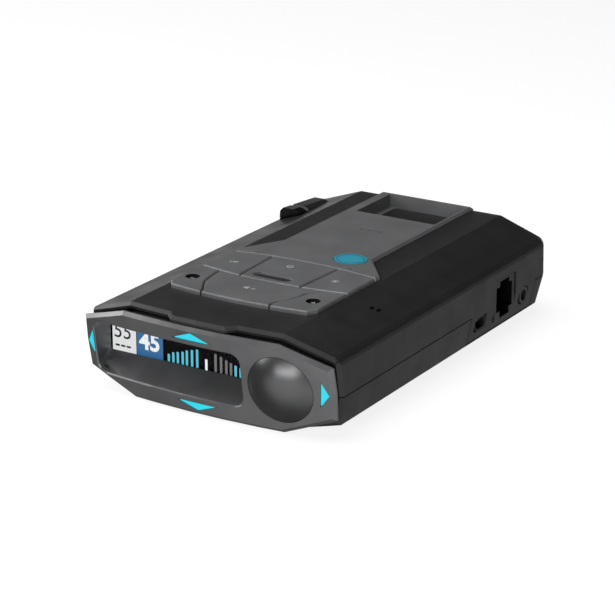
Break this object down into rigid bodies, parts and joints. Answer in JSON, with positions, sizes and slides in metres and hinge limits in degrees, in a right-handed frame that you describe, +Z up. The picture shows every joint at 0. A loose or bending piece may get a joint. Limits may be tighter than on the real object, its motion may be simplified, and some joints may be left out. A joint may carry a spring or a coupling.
{
  "type": "radar detector",
  "caption": "Dashboard radar detector: bowed display face with direction arrows, key deck, magnetic mount dock, release slider and side sockets in a faceted two-part case.",
  "frame": {"origin": "middle of the footprint at the height of the flat underside", "axes": "+X to the right of the driver who faces the display, +Y away from the driver towards the road, +Z up"},
  "size_m": [0.0852, 0.1372, 0.031],
  "materials": {
    "black_shell": "fine moulded texture, matt black",
    "slider_black": "polished black",
    "grey_face": "satin dark grey",
    "grey_deck": "satin gunmetal grey",
    "cyan_light": "lit cyan light guide, emissive",
    "teal_badge": "printed teal inlay",
    "clear_pane": "clear pane over the display",
    "display_screen": "lit colour display, emissive",
    "circuit_board": "green solder mask",
    "black_nylon": "moulded nylon",
    "plated_steel": "nickel plated",
    "cast_zinc": "die cast, tumbled",
    "ceramic": "fired ceramic",
    "dark_window": "dark infrared window",
    "amber_film": "polyimide film"
  },
  "bodies": {
    "casing": {"top_cover": "black_shell", "bottom_cover": "black_shell", "front_bezel": "grey_face", "sensor_dome": "grey_face", "button_plate": "grey_deck", "arrow_up": "cyan_light", "arrow_down": "cyan_light", "arrow_left": "cyan_light", "arrow_right": "cyan_light", "badge": "teal_badge", "display_window": "clear_pane", "display_module": "display_screen", "display_board": "circuit_board", "main_board": "circuit_board", "modular_jack": "black_nylon", "audio_jack": "black_nylon", "speaker": "black_nylon", "front_laser_sensor": "black_nylon", "rear_laser_sensor": "black_nylon", "sensitivity_switch": "black_nylon", "power_switch": "black_nylon", "brightness_switch": "black_nylon", "mute_switch": "black_nylon", "volume_down_switch": "black_nylon", "volume_up_switch": "black_nylon", "dock_plate": "plated_steel", "release_spring": "plated_steel", "usb_port": "plated_steel", "processor_shield": "plated_steel", "microphone": "plated_steel", "case_screw_1": "plated_steel", "case_screw_2": "plated_steel", "case_screw_3": "plated_steel", "case_screw_4": "plated_steel", "front_horn": "cast_zinc", "rear_horn": "cast_zinc", "rf_module": "cast_zinc", "gps_antenna": "ceramic", "front_window": "dark_window", "front_lens": "dark_window", "display_cable": "amber_film"},
    "sensitivity_key": {"sensitivity_button": "grey_deck"},
    "power_key": {"power_button": "grey_deck"},
    "brightness_key": {"brightness_button": "grey_deck"},
    "mute_key": {"mute_button": "grey_deck"},
    "volume_down_key": {"volume_down_button": "grey_deck"},
    "volume_up_key": {"volume_up_button": "grey_deck"},
    "slider": {"release_slider": "slider_black"}
  },
  "joints": [
    {"name": "sensitivity_press", "type": "slide", "parent": "casing", "child": "sensitivity_key", "axis": [0, 0, -1], "range_m": [0, 0.0004], "stiffness_N_per_m": 800, "springref_m": -0.001},
    {"name": "power_press", "type": "slide", "parent": "casing", "child": "power_key", "axis": [0, 0, -1], "range_m": [0, 0.0004], "stiffness_N_per_m": 800, "springref_m": -0.001},
    {"name": "brightness_press", "type": "slide", "parent": "casing", "child": "brightness_key", "axis": [0, 0, -1], "range_m": [0, 0.0004], "stiffness_N_per_m": 800, "springref_m": -0.001},
    {"name": "mute_press", "type": "slide", "parent": "casing", "child": "mute_key", "axis": [0, 0, -1], "range_m": [0, 0.0004], "stiffness_N_per_m": 800, "springref_m": -0.001},
    {"name": "volume_down_press", "type": "slide", "parent": "casing", "child": "volume_down_key", "axis": [0, 0, -1], "range_m": [0, 0.0004], "stiffness_N_per_m": 800, "springref_m": -0.001},
    {"name": "volume_up_press", "type": "slide", "parent": "casing", "child": "volume_up_key", "axis": [0, 0, -1], "range_m": [0, 0.0004], "stiffness_N_per_m": 800, "springref_m": -0.001},
    {"name": "slider_slide", "type": "slide", "parent": "casing", "child": "slider", "axis": [0, 1, 0], "range_m": [0, 0.001], "stiffness_N_per_m": 600, "springref_m": -0.002}
  ]
}
